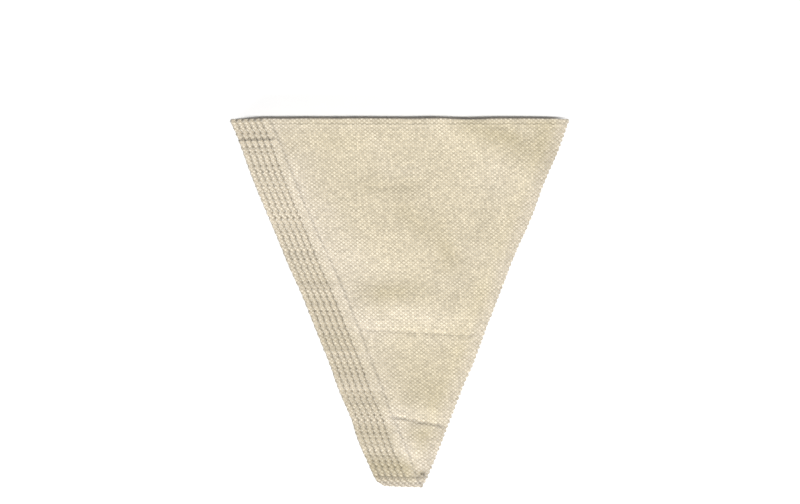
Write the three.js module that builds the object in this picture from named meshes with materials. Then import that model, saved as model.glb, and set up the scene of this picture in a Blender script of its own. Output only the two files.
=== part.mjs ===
import * as THREE from 'three';

// Fabric bunting: six triangular canvas flags, lying as a fanned stack.
// Millimetres. X runs to the right along the top edges, Y points from the tips
// to the top edges, and Z is up from the surface that the stack lies on.

// One flag, measured over its folded edges
const TOP_WIDTH = 129;
const FLAG_LENGTH = 154;
const SIDE_ANGLE = THREE.MathUtils.degToRad(22.1);
const BLUNT_LENGTH = 5.4;
const BLUNT_WIDTH = 2.6;
const CORNER_EASE = 0.7;
const CORNER_LENGTH = 1.6;

// The cloth, and the hems that are turned to its back and pressed flat
const CLOTH_THICKNESS = 1.0;
const HEM_EXTRA = 0.35;
const TOP_HEM = 3.8;
const SIDE_HEM = 4.6;
const TOP_HEM_FADE = 12;
const SIDE_HEM_FADE = 6;
const EDGE_ROUND = 0.4;

// The stack: each flag lies one step further right than the flag under it
const FAN_STEP = 2.62;
const LAYER_GAP = 0.45;
const DROOP_REACH = 16;
const DROOP_SHARE = 0.7;

// The lower flags are pressed flat, and the upper ones lie more and more loosely
const SLACK_LOFT = 0.9;
const SLACK_START = 2;
const SLACK_REACH = 16;

// Each flag from the bottom up: its share of the soft ridges, and how many points
// its grid has down and across. The top flag has one more row between each two.
const FLAGS = [
  { ridgeShare: 0, rows: 32, columns: 15 },
  { ridgeShare: 0, rows: 32, columns: 15 },
  { ridgeShare: 0, rows: 32, columns: 15 },
  { ridgeShare: 0.3, rows: 32, columns: 20 },
  { ridgeShare: 0.6, rows: 32, columns: 20 },
  { ridgeShare: 1, rows: 53, columns: 22 },
];

const CANVAS = { color: 0xdcd0b6, roughness: 0.95, metalness: 0 };

// The sides aren't quite straight: shift is to the right, at a depth below the top edge
const LEFT_SIDE = [
  { depth: 0, shift: 0 },
  { depth: 8, shift: 0.2 },
  { depth: 26, shift: -0.4 },
  { depth: 60, shift: -0.1 },
  { depth: 76, shift: 0.5 },
  { depth: 101, shift: 0.45 },
  { depth: 114, shift: -0.15 },
  { depth: 125, shift: 0.15 },
  { depth: 136, shift: -0.6 },
  { depth: 154, shift: 0 },
];
const RIGHT_SIDE = [
  { depth: 0, shift: 0 },
  { depth: 15, shift: 0.35 },
  { depth: 29, shift: -0.1 },
  { depth: 41, shift: 0.35 },
  { depth: 58, shift: -0.45 },
  { depth: 84, shift: -0.1 },
  { depth: 102, shift: 0.3 },
  { depth: 114, shift: -0.1 },
  { depth: 142, shift: 0.25 },
  { depth: 154, shift: 0 },
];

// Soft ridges that the upper flags share, each from one end of its crest to the
// other: x from the top flag's middle line, depth below its top edge
const RIDGES = [
  { name: 'right corner', x0: 14, d0: -1, x1: 48, d1: 19, height: 1.0, spread: 6 },
  { name: 'upper left', x0: -22, d0: 29, x1: -3, d1: 35, height: 0.5, spread: 4 },
  { name: 'middle', x0: -5, d0: 46, x1: 17, d1: 73, height: 0.7, spread: 7 },
  { name: 'belly', x0: -22, d0: 78, x1: 18, d1: 79, height: 1.0, spread: 6.5 },
  { name: 'low', x0: -8, d0: 118, x1: 10, d1: 120, height: 0.6, spread: 4.5 },
  { name: 'tip', x0: -5, d0: 135, x1: 4, d1: 137, height: 0.5, spread: 4 },
];

// Pressed creases across the top flag, as troughs
const CREASES = [
  { name: 'long crease', x0: -21, d0: 88.5, x1: 26, d1: 90.8, height: -0.5, spread: 1.6 },
  { name: 'short crease', x0: -9.6, d0: 124.5, x1: 11.6, d1: 128.6, height: -0.9, spread: 1.8 },
];

// Inset of each column near a side, and the share of a narrow row that it may
// take. They are fan steps apart, so that the columns of two flags meet. The
// right side has one more, because the hems of the flags below lie further in.
const LEFT_COLUMNS = [
  { inset: 0, share: 0 },
  { inset: EDGE_ROUND, share: 0.1 },
  { inset: FAN_STEP, share: 0.16 },
  { inset: 2 * FAN_STEP, share: 0.24 },
  { inset: 3 * FAN_STEP, share: 0.32 },
  { inset: 4 * FAN_STEP, share: 0.4 },
];
const RIGHT_COLUMNS = [...LEFT_COLUMNS, { inset: 7 * FAN_STEP, share: 0.48 }];

const cosSide = Math.cos(SIDE_ANGLE);
const tanSide = Math.tan(SIDE_ANGLE);
const bluntStart = FLAG_LENGTH - BLUNT_LENGTH;
const bluntStartHalf = TOP_WIDTH / 2 - bluntStart * tanSide;
const topFlag = FLAGS.length - 1;

function smooth(from, to, value) {
  return THREE.MathUtils.smoothstep(value, from, to);
}

// Value of a side's table at a depth, eased between its rows
function sideShift(table, depth) {
  const next = table.findIndex((row) => row.depth >= depth);
  if (next < 1) return 0;
  const above = table[next - 1];
  const below = table[next];
  return above.shift + (below.shift - above.shift) * smooth(above.depth, below.depth, depth);
}

// Half of a flag's width at a depth, with straight sides and the blunt tip
function halfWidth(depth) {
  if (depth > bluntStart) {
    const along = (depth - bluntStart) / BLUNT_LENGTH;
    return bluntStartHalf + (BLUNT_WIDTH / 2 - bluntStartHalf) * along;
  }
  const corner = Math.max(0, 1 - depth / CORNER_LENGTH);
  return TOP_WIDTH / 2 - depth * tanSide - CORNER_EASE * corner * corner;
}

// Where a flag's middle line lies across the stack
function middleX(flag) {
  return (flag - topFlag / 2) * FAN_STEP;
}

// Distance inside a flag's left and right sides, below zero outside them
function sideInsets(flag, x, depth) {
  const half = TOP_WIDTH / 2 - depth * tanSide;
  const across = x - middleX(flag);
  return { left: (half + across) * cosSide, right: (half - across) * cosSide };
}

// 1 on a flag's hems, easing to 0 inside them
function hemAt(flag, x, depth) {
  const { left, right } = sideInsets(flag, x, depth);
  const side = Math.min(left, right, FLAG_LENGTH - depth);
  const onSide = 1 - smooth(SIDE_HEM, SIDE_HEM + SIDE_HEM_FADE, side);
  const onTop = 1 - smooth(TOP_HEM, TOP_HEM + TOP_HEM_FADE, depth);
  return Math.max(onSide, onTop);
}

// How much of a flag's thickness carries what lies over it: all of it on the
// flag, and less and less past its right side, where the upper flags droop
function supportAt(flag, x, depth) {
  const beyond = -sideInsets(flag, x, depth).right;
  return 1 - DROOP_SHARE * smooth(0, DROOP_REACH, beyond);
}

// Height of one fold: a soft line from end to end, fading past both ends
function foldHeight(fold, x, depth) {
  const dx = fold.x1 - fold.x0;
  const dd = fold.d1 - fold.d0;
  const length = Math.hypot(dx, dd);
  const along = ((x - fold.x0) * dx + (depth - fold.d0) * dd) / length;
  const across = ((x - fold.x0) * dd - (depth - fold.d0) * dx) / length;
  const past = Math.max(0, -along, along - length);
  return fold.height * Math.exp(-0.5 * (across ** 2 + past ** 2) / fold.spread ** 2);
}

function foldsHeight(folds, x, depth) {
  const acrossTopFlag = x - middleX(topFlag);
  return folds.reduce((sum, fold) => sum + foldHeight(fold, acrossTopFlag, depth), 0);
}

// The soft ridges, the slack of the top flag and its creases
function reliefAt(flag, x, depth) {
  const ridges = FLAGS[flag].ridgeShare * foldsHeight(RIDGES, x, depth);
  if (flag < topFlag) return ridges;
  const { left, right } = sideInsets(flag, x, depth);
  const inset = Math.min(left, right, depth, FLAG_LENGTH - depth);
  const slack = smooth(SLACK_START, SLACK_REACH, inset);
  return ridges + slack * Math.max(0, SLACK_LOFT + foldsHeight(CREASES, x, depth));
}

function thicknessAt(flag, x, depth) {
  return CLOTH_THICKNESS + HEM_EXTRA * hemAt(flag, x, depth);
}

// Height of a flag's upper face: all the layers up to it, then its relief
function upperFace(flag, x, depth) {
  let height = thicknessAt(0, x, depth) * supportAt(0, x, depth);
  for (let under = 1; under <= flag; under += 1) {
    const layer = LAYER_GAP + thicknessAt(under, x, depth);
    height += layer * supportAt(under, x, depth);
  }
  return height + reliefAt(flag, x, depth);
}

// Depths of the rows: close together at the hem and at the tip, even between them
function rowDepths(rows) {
  const hem = [0, EDGE_ROUND, TOP_HEM / 2, TOP_HEM];
  const fade = [0.25, 0.5, 0.75, 1].map((share) => TOP_HEM + TOP_HEM_FADE * share);
  const tip = [bluntStart + BLUNT_LENGTH / 2, FLAG_LENGTH - EDGE_ROUND, FLAG_LENGTH];
  const steps = rows - hem.length - fade.length - tip.length;
  const start = TOP_HEM + TOP_HEM_FADE;
  const middle = [];
  for (let step = 1; step <= steps; step += 1) {
    middle.push(start + (bluntStart - start) * step / steps);
  }
  return [...hem, ...fade, ...middle, ...tip];
}

// Places of the columns across one row, from its left edge to its right edge
function columnPlaces(depth, columns) {
  const leftEdge = -halfWidth(depth) + sideShift(LEFT_SIDE, depth);
  const rightEdge = halfWidth(depth) + sideShift(RIGHT_SIDE, depth);
  const width = rightEdge - leftEdge;
  const left = LEFT_COLUMNS.map(({ inset, share }) => leftEdge + Math.min(inset, width * share));
  const right = RIGHT_COLUMNS.map(({ inset, share }) => rightEdge - Math.min(inset, width * share));
  const start = left.at(-1);
  const end = right.at(-1);
  const steps = columns - left.length - right.length + 1;
  const middle = [];
  for (let step = 1; step < steps; step += 1) {
    middle.push(start + (end - start) * step / steps);
  }
  return [...left, ...middle, ...right.reverse()];
}

// One flag as a closed sheet: an upper and a lower face over the same grid of
// points, which meet in one rounded edge all round
function flagGeometry(flag, rows, columns) {
  const depths = rowDepths(rows);
  const positions = [];
  const upper = [];
  const lower = [];
  depths.forEach((depth, row) => {
    columnPlaces(depth, columns).forEach((across, column) => {
      const x = across + middleX(flag);
      const top = upperFace(flag, x, depth);
      const bottom = top - thicknessAt(flag, x, depth);
      const index = positions.length / 3;
      if (onEdge(row, column, rows, columns)) {
        positions.push(across, -depth, (top + bottom) / 2);
        upper.push(index);
        lower.push(index);
      } else {
        positions.push(across, -depth, top, across, -depth, bottom);
        upper.push(index);
        lower.push(index + 1);
      }
    });
  });

  const triangles = [];
  for (let row = 0; row < rows - 1; row += 1) {
    for (let column = 0; column < columns - 1; column += 1) {
      for (const corners of cellTriangles(row, column, rows, columns)) {
        triangles.push(...corners.map((corner) => upper[corner]));
        triangles.push(...corners.map((corner) => lower[corner]).reverse());
      }
    }
  }
  const geometry = new THREE.BufferGeometry();
  geometry.setAttribute('position', new THREE.Float32BufferAttribute(positions, 3));
  geometry.setIndex(triangles);
  geometry.computeVertexNormals();
  return geometry;
}

function onEdge(row, column, rows, columns) {
  return row === 0 || column === 0 || row === rows - 1 || column === columns - 1;
}

// The two triangles of one cell, anticlockwise from above. The cut never joins
// two edge points, so no triangle lies in both faces.
function cellTriangles(row, column, rows, columns) {
  const farLeft = row * columns + column;
  const farRight = farLeft + 1;
  const nearLeft = farLeft + columns;
  const nearRight = nearLeft + 1;
  const edgeToEdge = onEdge(row, column, rows, columns)
    && onEdge(row + 1, column + 1, rows, columns);
  if (edgeToEdge) {
    return [[farLeft, nearLeft, farRight], [nearLeft, nearRight, farRight]];
  }
  return [[farLeft, nearLeft, nearRight], [farLeft, nearRight, farRight]];
}

const bunting = new THREE.Group();
FLAGS.forEach(({ rows, columns }, flag) => {
  const canvas = new THREE.MeshStandardMaterial(CANVAS);
  const mesh = new THREE.Mesh(flagGeometry(flag, rows, columns), canvas);
  mesh.name = `flag_${flag + 1}`;
  mesh.position.set(middleX(flag), FLAG_LENGTH / 2, 0);
  bunting.add(mesh);
});

export default bunting;
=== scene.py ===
# %% [markdown]
# A bunting is a row of small cloth flags. These are plain canvas triangles, not yet
# strung on a cord, and they lie face up in a stack that is fanned to the left. The
# solids of the flags are loaded first. They give every place and size that the cloth
# has to keep to, and the cloth is then modelled over them, thread by thread.

# %% Load the solids of the flags
import math

import bmesh
import bpy
import numpy as np
from mathutils import Matrix, Vector


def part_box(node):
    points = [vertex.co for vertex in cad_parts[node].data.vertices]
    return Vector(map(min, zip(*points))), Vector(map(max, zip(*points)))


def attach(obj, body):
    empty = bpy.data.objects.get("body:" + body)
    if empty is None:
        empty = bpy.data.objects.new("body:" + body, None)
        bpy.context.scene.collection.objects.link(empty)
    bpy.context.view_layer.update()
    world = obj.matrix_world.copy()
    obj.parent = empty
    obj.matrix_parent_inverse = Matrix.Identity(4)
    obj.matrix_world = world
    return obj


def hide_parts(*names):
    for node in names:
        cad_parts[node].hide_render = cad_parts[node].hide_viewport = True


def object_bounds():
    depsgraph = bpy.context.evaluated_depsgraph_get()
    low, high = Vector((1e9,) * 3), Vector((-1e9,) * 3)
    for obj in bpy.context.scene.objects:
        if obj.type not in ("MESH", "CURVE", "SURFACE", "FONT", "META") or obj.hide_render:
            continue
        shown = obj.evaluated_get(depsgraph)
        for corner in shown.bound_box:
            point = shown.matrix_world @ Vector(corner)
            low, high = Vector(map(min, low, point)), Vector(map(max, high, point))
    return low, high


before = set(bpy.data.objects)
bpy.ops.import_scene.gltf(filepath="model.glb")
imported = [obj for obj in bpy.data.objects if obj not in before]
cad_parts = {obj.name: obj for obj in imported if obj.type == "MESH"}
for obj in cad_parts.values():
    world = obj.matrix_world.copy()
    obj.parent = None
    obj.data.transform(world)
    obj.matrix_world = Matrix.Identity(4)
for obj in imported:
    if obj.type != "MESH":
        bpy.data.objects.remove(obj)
cad_low, cad_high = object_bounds()
flag_names = sorted(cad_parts)
print("flags:", flag_names, "box:", tuple(cad_low), tuple(cad_high))

# %% [markdown]
# The cloth is worked out in millimetres, as a maker would measure it, and turned into
# metres when a mesh is written. The length of a flag, its middle line and the fan
# step are read from the solids. The angle of the sides is set by the width of the top
# edge and by the point in which the two sides would meet.

# %% Sizes of a flag and of the stack
MM = 0.001
SIDE_ANGLE = math.radians(22.1)
COS_SIDE = math.cos(SIDE_ANGLE)
TAN_SIDE = math.tan(SIDE_ANGLE)
TOP_WIDTH = 129.0
HALF_TOP = TOP_WIDTH / 2


def middle_of(name):
    low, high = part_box(name)
    return (low.x + high.x) / 2 / MM


MIDDLES = [middle_of(name) for name in flag_names]
FAN_STEP = (MIDDLES[-1] - MIDDLES[0]) / (len(MIDDLES) - 1)
TOP_EDGE_Y = cad_high.y / MM
FLAG_LENGTH = (cad_high.y - cad_low.y) / MM
TOP_FLAG = len(flag_names) - 1
print("fan step", round(FAN_STEP, 3), "mm, flag length", round(FLAG_LENGTH, 2), "mm")

# %% [markdown]
# The camera looks straight down on the stack from far off, through a long lens, so
# that the flags keep their true outline. Its height follows from the width of the
# view at the top flag, and it stands over a point above the middle of the stack,
# which leaves the empty floor over the flags.

# %% Camera
VIEW_WIDTH = 332.5
VIEW_LEVEL = 10.0
LENS = 150.0
SENSOR = 36.0
CAMERA_OVER = (0.3, 21.0)

camera_data = bpy.data.cameras.new("overhead")
camera_data.lens = LENS
camera_data.sensor_width = SENSOR
camera = bpy.data.objects.new("overhead", camera_data)
camera_height = VIEW_LEVEL + VIEW_WIDTH * LENS / SENSOR
camera.location = Vector((*CAMERA_OVER, camera_height)) * MM
bpy.context.scene.collection.objects.link(camera)
bpy.context.scene.camera = camera
print("camera at", round(camera_height), "mm over the floor")

# %% [markdown]
# Each flag lies on those under it, so the height of its face is the sum of the layers
# below. A hem is thicker than the rest of a flag, and the six top hems lie exactly
# over each other, so the stack is highest there. Past the right side of a lower flag
# the upper ones lose its support and droop.

# %% Height of each flag's face in the stack
CLOTH_LAYER = 1.0
HEM_EXTRA = 0.35
LAYER_GAP = 0.45
TOP_HEM = 3.8
SIDE_HEM = 4.6
TOP_HEM_FADE = 12.0
SIDE_HEM_FADE = 6.0
DROOP_REACH = 16.0
DROOP_SHARE = 0.7


def smooth(start, end, value):
    share = np.clip((value - start) / (end - start), 0, 1)
    return share * share * (3 - 2 * share)


def side_insets(flag, x, depth):
    """Distances inside the left and the right side of a flag."""
    half = HALF_TOP - depth * TAN_SIDE
    across = x - MIDDLES[flag]
    return (half + across) * COS_SIDE, (half - across) * COS_SIDE


def hem_share(flag, x, depth):
    """1 on a flag's hems, easing to 0 inside them."""
    left, right = side_insets(flag, x, depth)
    side = np.minimum(np.minimum(left, right), FLAG_LENGTH - depth)
    on_side = 1 - smooth(SIDE_HEM, SIDE_HEM + SIDE_HEM_FADE, side)
    on_top = 1 - smooth(TOP_HEM, TOP_HEM + TOP_HEM_FADE, depth)
    return np.maximum(on_side, on_top)


def support(flag, x, depth):
    """How much of a flag's thickness carries the flags over it."""
    beyond = -side_insets(flag, x, depth)[1]
    return 1 - DROOP_SHARE * smooth(0, DROOP_REACH, beyond)


def stack_height(flag, x, depth):
    """Height of a flag's face over the floor, while it lies flat."""
    height = -LAYER_GAP * support(0, x, depth)
    for under in range(flag + 1):
        layer = LAYER_GAP + CLOTH_LAYER + HEM_EXTRA * hem_share(under, x, depth)
        height = height + layer * support(under, x, depth)
    return height


print("stack height at the top hems:", round(float(stack_height(TOP_FLAG, 0.0, 1.0)), 2), "mm")

# %% [markdown]
# The flags were pressed, then packed, so soft ridges and sharper creases run across
# them. Each is listed from one end to the other, with its own height and width. The
# soft ridges are shared by the upper flags. The creases are only in the top one, which
# also lies a little loose over the others.

# %% Ridges and creases of the flags
# how much of the ridges each flag takes, from the lowest to the top one
RIDGE_SHARES = (0, 0, 0, 0.3, 0.6, 1)
SLACK_LOFT = 0.9
SLACK_START = 2.0
SLACK_REACH = 16.0

# columns: x and depth of one end, x and depth of the other, height, spread, end fade
RIDGES = {
    "right corner": (14, -1, 48, 19, 1.0, 6, 6),
    "upper left": (-22, 29, -3, 35, 0.5, 4, 4),
    "middle": (-5, 46, 17, 73, 0.7, 7, 7),
    "belly": (-22, 78, 18, 79, 1.0, 6.5, 6.5),
    "low": (-8, 118, 10, 120, 0.6, 4.5, 4.5),
    "tip": (-5, 135, 4, 137, 0.5, 4, 4),
}
CREASES = {
    "long crease": (-21, 88.6, 26, 90.9, -0.4, 0.9, 3),
    "short crease": (-9.6, 124.5, 11.6, 128.6, -0.7, 1.3, 2.5),
    "edge over it": (-9, 123.2, 11, 126.9, 0.3, 0.9, 2),
    "crease under it": (-2, 132, 6.5, 132.4, -0.25, 0.9, 2),
    "slanting tip ridge": (-5.5, 133, -0.5, 142, 0.35, 2.0, 3),
    "upper streak": (-19, 28.8, -3, 28.2, -0.22, 1.1, 3),
    "slanting streak": (-3, 41, 16, 57, -0.3, 1.6, 4),
    "its lower end": (16, 57, 23, 68, -0.2, 1.6, 4),
}


def fold_height(folds, x, depth):
    """Sum of soft folds, each along a line between two places."""
    total = np.zeros_like(x)
    for x0, d0, x1, d1, height, spread, fade in folds.values():
        length = math.hypot(x1 - x0, d1 - d0)
        along = ((x - x0) * (x1 - x0) + (depth - d0) * (d1 - d0)) / length
        across = ((x - x0) * (d1 - d0) - (depth - d0) * (x1 - x0)) / length
        past = np.maximum(np.maximum(-along, along - length), 0)
        total += height * np.exp(-0.5 * ((across / spread) ** 2 + (past / fade) ** 2))
    return total


def relief(flag, x, depth):
    """What folds and slack add to the height of a flag's face."""
    from_top_middle = x - MIDDLES[TOP_FLAG]
    ridges = RIDGE_SHARES[flag] * fold_height(RIDGES, from_top_middle, depth)
    if flag < TOP_FLAG:
        return ridges
    left, right = side_insets(flag, x, depth)
    inset = np.minimum(np.minimum(left, right), np.minimum(depth, FLAG_LENGTH - depth))
    slack = smooth(SLACK_START, SLACK_REACH, inset)
    return ridges + slack * (SLACK_LOFT + fold_height(CREASES, from_top_middle, depth))


print("ridges and creases:", len(RIDGES), len(CREASES))

# %% [markdown]
# Where a hem is turned to the back, it prints through to the face: the cloth steps
# down at the hem's inner edge. The step isn't quite parallel to the side. Near the
# left top corner the side hem lies over the end of the top hem. The thick place is
# pinched there and has a few slanting strokes.

# %% Print of the hems on the face
STEP_DEPTH = 0.12
RIGHT_STEP_SHARE = 0.6
TOP_STEP_SHARE = 0.8
STEP_WIDTH = 0.8
STEP_RECOVERY = 7.0
TIP_HEM = 4.2
# columns: depth, width of the side hem there
HEM_WIDTHS = (
    (0, 3.7), (35, 3.7), (47, 4.15), (57, 4.7), (67, 5.2), (88, 5.2),
    (107, 4.9), (122, 4.3), (135, 4.6), (154, 4.4),
)
# columns as for the ridges
HEM_FOLDS = {
    "pinch": (-62.0, 9.4, -58.6, 8.3, -0.2, 0.7, 0.7),
    "ridge under the pinch": (-61.6, 10.8, -58.2, 9.7, 0.2, 0.7, 0.7),
    "tip roll": (-4, 151.2, 3.5, 151.2, 0.2, 0.8, 0.8),
}
CORNER_STROKE_PITCH = 1.9
CORNER_STROKE_LEAN = 0.9
CORNER_STROKE_HEIGHT = 0.25
CORNER_STROKES_END = 7.8
CORNER_STROKES_EASE = 1.0


def hem_step(inset, hem):
    """A dip just inside a hem, sharp at the hem and soft further in."""
    return smooth(hem - STEP_WIDTH / 2, hem + STEP_WIDTH / 2, inset) * (
        1 - smooth(hem + STEP_WIDTH, hem + STEP_WIDTH + STEP_RECOVERY, inset)
    )


def hem_print(flag, x, depth):
    """What the hems under a flag's face add to its height."""
    left, right = side_insets(flag, x, depth)
    hem = np.interp(depth, *zip(*HEM_WIDTHS))
    dips = (
        hem_step(left, hem),
        RIGHT_STEP_SHARE * hem_step(right, hem),
        TOP_STEP_SHARE * hem_step(depth, TOP_HEM),
        hem_step(FLAG_LENGTH - depth, TIP_HEM),
    )
    across = x - MIDDLES[flag]
    strokes = np.cos(2 * math.pi * (depth - CORNER_STROKE_LEAN * across) / CORNER_STROKE_PITCH)
    on_hem = 1 - smooth(SIDE_HEM - CORNER_STROKES_EASE, SIDE_HEM, left)
    in_corner = 1 - smooth(CORNER_STROKES_END - CORNER_STROKES_EASE, CORNER_STROKES_END, depth)
    return (
        fold_height(HEM_FOLDS, across, depth)
        + CORNER_STROKE_HEIGHT * strokes * on_hem * in_corner
        - STEP_DEPTH * np.maximum.reduce(dips)
    )


print("hem step", STEP_DEPTH, "mm")

# %% [markdown]
# Plain weave: each weft yarn passes over one warp yarn and under the next. Where two
# yarns cross, the cloth stands proud, and between four crossings it has a pore. The
# twist of the yarn slants each crossing a little. The warp leans as well, as it does in
# cloth that was pulled askew before it was cut. Yarns are spun unevenly, so each one is
# a little thicker or thinner than the next. Scattered values that depend only on a
# yarn's number make them so, and the cloth comes out the same each time.

# %% Relief of the weave
WARP_PITCH = 0.965
WEFT_PITCH = 0.746
WARP_LEAN = math.tan(math.radians(5.5))
CROWN = 0.075
WARP_SHARE = 0.7
OVER_UNDER = 0.07
TWIST = 0.14
YARN_VARIATION = 0.4
CROSSING_VARIATION = 0.5
# crossings over which a yarn keeps its thickness, and what tells one such stretch from the next
WARP_STRETCH = (9, 31)
WEFT_STRETCH = (7, 57)
ROW_STEP = 211
# large, uneven factors, so that values at neighbouring numbers have nothing in common
SCATTER_FACTORS = (12.9898, 78.233, 43758.5453)


def threads_at(u, v):
    """Counts of warp and weft yarns from the middle of the top edge."""
    return (u + WARP_LEAN * v) / WARP_PITCH, v / WEFT_PITCH


def scatter(number, salt):
    """A fixed value from -1 to 1 for each whole number. Each use has its own salt."""
    by_number, by_salt, enlarge = SCATTER_FACTORS
    value = np.sin(number * by_number + salt * by_salt) * enlarge
    return 2 * (value - np.floor(value)) - 1


def drifting(value, salt):
    """A smooth line through fixed scattered values, one at each whole number."""
    before = scatter(np.floor(value), salt)
    after = scatter(np.floor(value) + 1, salt)
    return before + (after - before) * smooth(0, 1, value - np.floor(value))


def yarn_size(yarn, along, stretch, salt):
    """How much thicker a yarn is than its mean: all along, and on this stretch of it."""
    crossings, step = stretch
    part = np.round(along / crossings) * step
    return (scatter(yarn, salt) + scatter(yarn + part, salt + 1)) / 2


def weave_height(warp, weft, side):
    """Height of the surface over its mean. side is 1 on the face and -1 on the back."""
    warp_crown, weft_crown = np.cos(2 * math.pi * warp), np.cos(2 * math.pi * weft)
    crowns = WARP_SHARE * warp_crown + (1 - WARP_SHARE) * weft_crown
    straight = np.cos(math.pi * warp) * np.cos(math.pi * weft)
    twisted = np.sin(math.pi * warp) * np.sin(math.pi * weft)
    over = side * (straight - TWIST * twisted)
    warp_yarn, weft_yarn = np.round(warp), np.round(weft)
    warp_size = yarn_size(warp_yarn, weft, WARP_STRETCH, 1)
    weft_size = yarn_size(weft_yarn, warp, WEFT_STRETCH, 3)
    top_yarn = YARN_VARIATION * np.where(over > 0, warp_size, weft_size)
    crossing = CROSSING_VARIATION * scatter(warp_yarn + weft_yarn * ROW_STEP, 5)
    return (CROWN * crowns + OVER_UNDER * over) * (1 + top_yarn + crossing)


print("yarns across a flag:", round(TOP_WIDTH / WARP_PITCH), "down:", round(FLAG_LENGTH / WEFT_PITCH))

# %% [markdown]
# The sides of a real flag aren't quite straight: the hem was folded by hand. Their
# wander is given at a few depths and eased between them. It moves the cloth near
# that side and dies out towards the middle.

# %% Wander of the two sides
# columns: depth, shift to the right
LEFT_SIDE = (
    (0, 0), (8, 0.2), (26, -0.4), (60, -0.1), (76, 0.5),
    (101, 0.45), (114, -0.15), (125, 0.15), (136, -0.6), (154, 0),
)
RIGHT_SIDE = (
    (0, 0.15), (15, 0.5), (29, 0.05), (41, 0.5), (58, -0.3),
    (84, 0.05), (102, 0.45), (114, 0.05), (142, 0.4), (154, 0.15),
)
WANDER_REACH = 12.0
NARROWEST_HALF = 1.0
CORNER_EASE = 0.7
CORNER_LENGTH = 1.6


def side_shift(side, depth):
    """The wander of a side at a depth, eased between the depths that are given."""
    total = np.zeros_like(depth)
    for (start, before), (end, after) in zip(side, side[1:]):
        inside = (depth > start) & (depth <= end)
        total = np.where(inside, before + (after - before) * smooth(start, end, depth), total)
    return total


def wander(x, depth):
    """Shift of a point of a flag, measured from the flag's middle line."""
    half = np.maximum(HALF_TOP - depth * TAN_SIDE, NARROWEST_HALF)
    left = 1 - smooth(0, np.minimum(WANDER_REACH, half), half + x)
    right = 1 - smooth(0, np.minimum(WANDER_REACH, half), half - x)
    corner = CORNER_EASE * np.clip(1 - depth / CORNER_LENGTH, 0, 1) ** 2
    return (
        left * (side_shift(LEFT_SIDE, depth) + corner)
        + right * (side_shift(RIGHT_SIDE, depth) - corner)
    )


print("wander at the left, 76 mm down:", round(float(wander(-33.0, 76.0)), 2), "mm")

# %% [markdown]
# The edge of a folded hem isn't a clean line either. Each yarn that turns over the fold
# bulges out, and between two such turns there is a notch. On the slanting sides the
# bulges lean down the slope, which gives the fan its rows of slanting strokes. They
# could be modelled one by one, but a wave over the count of the yarns puts each bulge
# where its yarn turns. The left fold didn't follow the yarns evenly, so its count gains
# a few turns on the way down.

# %% Scallops of the folded edges
SCALLOP = 0.52
SCALLOP_REACH = 1.5
SCALLOP_LIFT = 0.08
SCALLOP_LEAN = 0.26
SCALLOP_VARIATION = 0.36
SCALLOP_ROUNDNESS = 0.75
SCALLOP_MEAN = 0.69
RIGHT_SCALLOP_SHARE = 1.1
RIGHT_LIFT_SHARE = 0.6
TOP_SCALLOP = 0.12
TOP_DRIFT_SPAN = 11
# x of the middle of a dip in the top edge, its reach and its depth
TOP_DIP = (22.8, 9.0, 0.5)
# columns: depth, yarns that the left fold turns over and above its own angle
LEFT_TURNS = ((0, 0), (52, 2.4), (101, 2.5), (154, 7.3))
LOWEST_SHARE = 0.5


def scallop(count):
    """Leaning bulges at whole numbers, of uneven size, with sharp notches between."""
    size = 1 + SCALLOP_VARIATION * scatter(np.round(count), 21)
    turn = count - np.round(count)
    turn = turn + SCALLOP_LEAN * np.cos(math.pi * turn)
    return size * (np.abs(np.cos(math.pi * turn)) ** SCALLOP_ROUNDNESS - SCALLOP_MEAN)


def near_fold(inset):
    """1 at a fold, dying out inside it."""
    return np.exp(-((np.maximum(inset, 0) / SCALLOP_REACH) ** 2))


def edge_scallops(flag, x, depth):
    """What the folded edges add to a point: shift right, shift up, lift."""
    half = HALF_TOP - depth * TAN_SIDE
    turned = np.interp(depth, *zip(*LEFT_TURNS))
    left = scallop((-half - WARP_LEAN * depth) / WARP_PITCH + turned)
    left *= near_fold((half + x) * COS_SIDE) * (LOWEST_SHARE if flag == 0 else 1)
    right = scallop((half - WARP_LEAN * depth) / WARP_PITCH)
    right *= near_fold((half - x) * COS_SIDE)
    top = scallop((x - WARP_LEAN * depth) / WARP_PITCH) + drifting(x / TOP_DRIFT_SPAN, 31)
    dip_x, dip_reach, dip = TOP_DIP
    top -= dip / TOP_SCALLOP * np.exp(-(((x - dip_x) / dip_reach) ** 2))
    return (
        SCALLOP * (RIGHT_SCALLOP_SHARE * right - left),
        TOP_SCALLOP * top * near_fold(depth),
        SCALLOP_LIFT * (left + RIGHT_LIFT_SHARE * right),
    )


own_turns = FLAG_LENGTH * (TAN_SIDE - WARP_LEAN) / WARP_PITCH
print("scallops down the left side:", round(own_turns + LEFT_TURNS[-1][1]), "right:", round(own_turns))

# %% [markdown]
# A hem starts where the cloth begins to bend. These fold lines lie inside the finished
# edge by the radius of the fold and half the cloth. The outline of a finished flag is
# given by its corners, four short edges make the blunt and slightly skewed tip, and
# the fold lines are found by moving every edge inwards.

# %% Fold lines inside the finished edge
CLOTH = 0.5
FOLD_GAP = 0.06
FOLD_RADIUS = CLOTH / 2 + FOLD_GAP
FOLD_INSET = FOLD_RADIUS + CLOTH / 2
# columns: x from the middle line, depth, of the corners of the finished flag
OUTLINE = (
    (-HALF_TOP, 0.45),
    (-3.9, 150.2),
    (-2.6, 152.2),
    (0.4, 154.0),
    (2.8, 154.2),
    (5.0, 149.9),
    (HALF_TOP, 0.45),
)


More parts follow.
